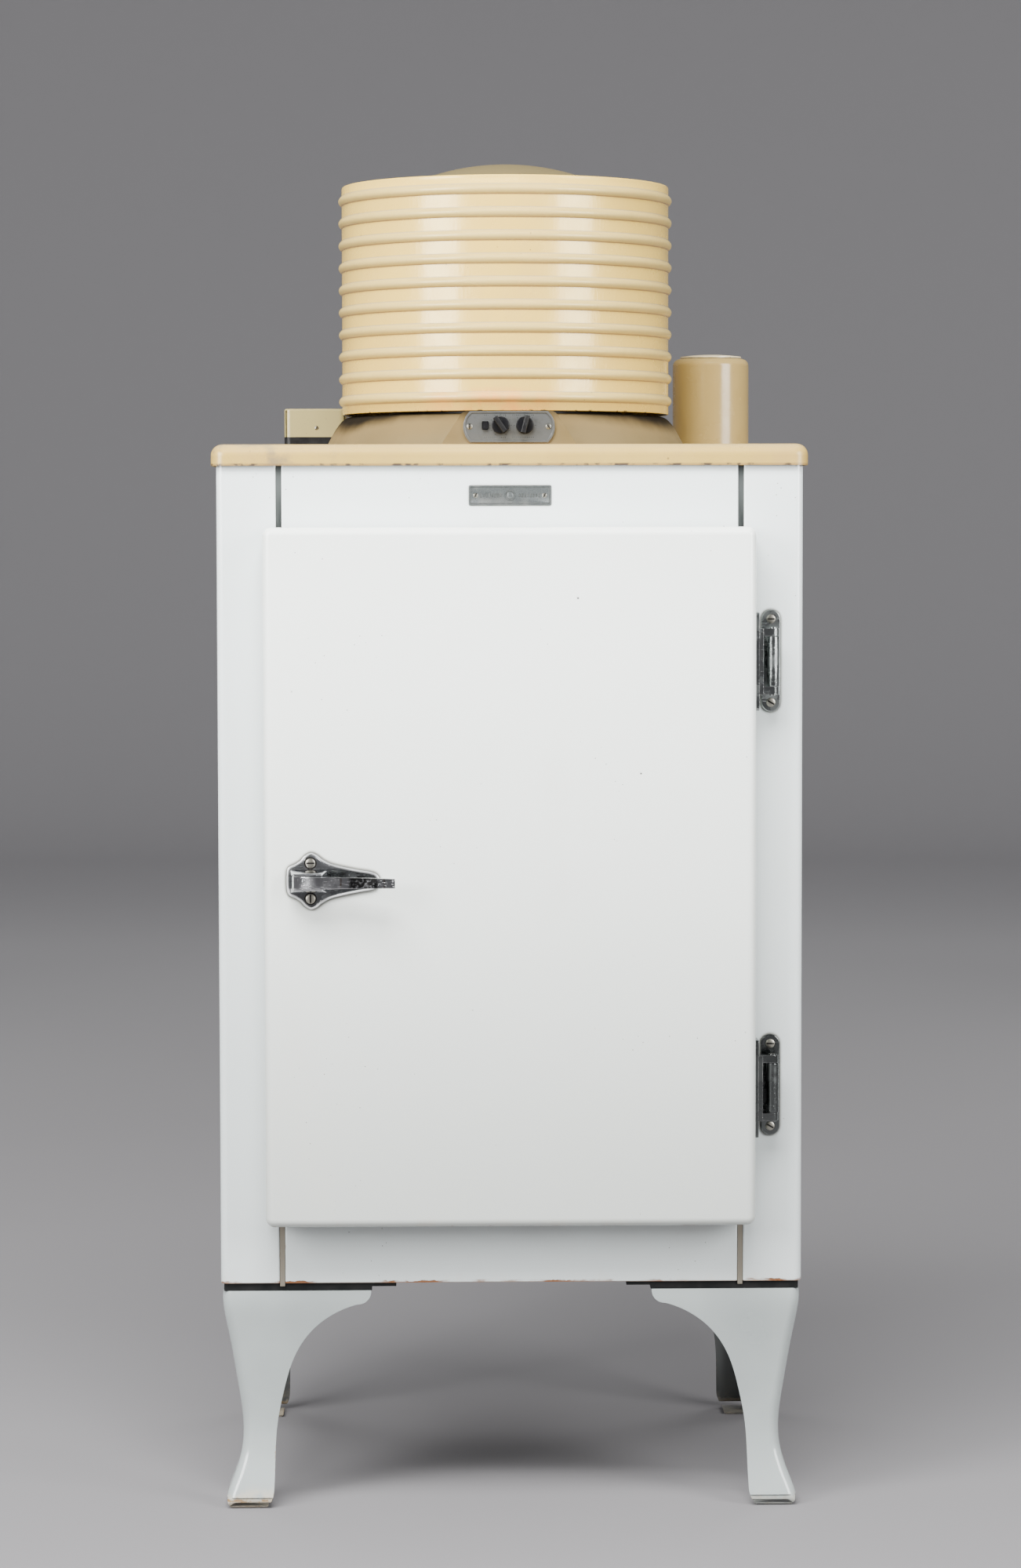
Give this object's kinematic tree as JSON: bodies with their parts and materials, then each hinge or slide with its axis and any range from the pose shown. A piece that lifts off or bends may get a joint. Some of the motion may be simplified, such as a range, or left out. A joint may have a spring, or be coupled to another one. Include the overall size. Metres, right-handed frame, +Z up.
{
  "type": "early electric refrigerator",
  "caption": "White enamelled refrigerator cabinet on bowed legs, with a ribbed drum-shaped cooling unit on top, a hinged door, latch, shelves and ice trays.",
  "frame": {"origin": "on the floor, under the middle of the whole object's box", "axes": "+Z up, -Y to the front where the door is, +X to the right as seen from the front"},
  "size_m": [0.729, 0.7, 1.676],
  "materials": {
    "enamel_white": "glossy vitreous enamel, cool white",
    "liner_enamel": "glossy enamel, warm white",
    "cream_enamel": "glossy cream enamel",
    "tan_enamel": "satin tan enamel",
    "black_gloss": "glossy black",
    "black_iron": "dull black",
    "chrome": "polished, lightly worn",
    "steel": "plain steel",
    "plate_metal": "stamped plate, satin",
    "seam_filler": "dull grey filler",
    "breaker_plastic": "moulded, dull",
    "gasket_rubber": "soft grey rubber",
    "cork": "pressed cork board",
    "castings": "machined iron",
    "float_brass": "spun brass"
  },
  "bodies": {
    "cabinet": {"back_panel": "enamel_white", "bottom_panel": "black_iron", "breaker_frame": "breaker_plastic", "cabinet_screws": "steel", "casing_dome": "cream_enamel", "compressor_block": "castings", "compressor_casing": "cream_enamel", "compressor_piston": "castings", "condenser_coil": "cream_enamel", "condenser_drum": "cream_enamel", "control_plate": "plate_metal", "control_switch_body": "black_gloss", "cord_bushing": "gasket_rubber", "cork_insulation": "cork", "drip_tray": "liner_enamel", "drum_brackets": "cream_enamel", "evaporator": "liner_enamel", "float_chamber": "tan_enamel", "float_chamber_lid": "tan_enamel", "header_panel": "enamel_white", "hinge_cabinet_leaves": "chrome", "latch_strike": "steel", "leg_front_left": "enamel_white", "leg_front_right": "enamel_white", "leg_plates": "black_iron", "leg_rear_left": "enamel_white", "leg_rear_right": "enamel_white", "liner": "liner_enamel", "motor_stator": "castings", "nameplate": "plate_metal", "refrigerant_lines": "steel", "relay_box_base": "black_gloss", "relay_box_cover": "tan_enamel", "seam_strips": "seam_filler", "shelf_studs": "steel", "side_panel_left": "enamel_white", "side_panel_right": "enamel_white", "sill_panel": "enamel_white", "top_pan": "tan_enamel", "unit_base": "cream_enamel", "unit_plug": "cork", "wire_shelves": "steel"},
    "door": {"door_outer_pan": "enamel_white", "door_inner_panel": "liner_enamel", "door_insulation": "cork", "door_gasket": "gasket_rubber", "hinge_door_leaves": "chrome", "hinge_pins": "chrome", "latch_escutcheon": "chrome", "door_screws": "steel"},
    "handle": {"door_handle": "chrome"},
    "bolt": {"latch_bolt": "steel"},
    "thermostat": {"thermostat_knob": "black_gloss"},
    "switch": {"switch_knob": "black_gloss"},
    "button": {"reset_button": "black_gloss"},
    "rotor": {"motor_rotor": "castings"},
    "float": {"float_ball": "float_brass"},
    "tray_upper": {"ice_tray_upper": "plate_metal"},
    "tray_lower": {"ice_tray_lower": "plate_metal"}
  },
  "joints": [
    {"name": "door_hinge", "type": "hinge", "parent": "cabinet", "child": "door", "pos_m": [0.319, -0.2765, 0.78775], "axis": [0, 0, 1], "range_deg": [0, 120]},
    {"name": "handle_pull", "type": "hinge", "parent": "door", "child": "handle", "pos_m": [-0.258, -0.3145, 0.785], "axis": [0, 0, -1], "range_deg": [0, 30], "stiffness_Nm_per_rad": 0.3},
    {"name": "bolt_slide", "type": "slide", "parent": "door", "child": "bolt", "axis": [1, 0, 0], "range_m": [0, 0.007]},
    {"name": "thermostat_turn", "type": "hinge", "parent": "cabinet", "child": "thermostat", "pos_m": [-0.0104, -0.1955, 1.3373], "axis": [0, -1, 0], "range_deg": [-110, 110]},
    {"name": "switch_turn", "type": "hinge", "parent": "cabinet", "child": "switch", "pos_m": [0.0195, -0.1955, 1.3373], "axis": [0, -1, 0], "range_deg": [-30, 90]},
    {"name": "button_press", "type": "slide", "parent": "cabinet", "child": "button", "axis": [0, 1, 0], "range_m": [0, 0.003], "stiffness_N_per_m": 200},
    {"name": "rotor_spin", "type": "hinge", "parent": "cabinet", "child": "rotor", "pos_m": [0, 0.0435, 1.48], "axis": [0, 0, 1], "continuous": true},
    {"name": "float_rise", "type": "slide", "parent": "cabinet", "child": "float", "axis": [0, 0, 1], "range_m": [0, 0.012]},
    {"name": "tray_upper_slide", "type": "slide", "parent": "cabinet", "child": "tray_upper", "axis": [0, -1, 0], "range_m": [0, 0.065]},
    {"name": "tray_lower_slide", "type": "slide", "parent": "cabinet", "child": "tray_lower", "axis": [0, -1, 0], "range_m": [0, 0.065]}
  ],
  "couplings": [
    {"joint": "bolt_slide", "follows": "handle_pull", "m_per_rad": 0.01336}
  ]
}
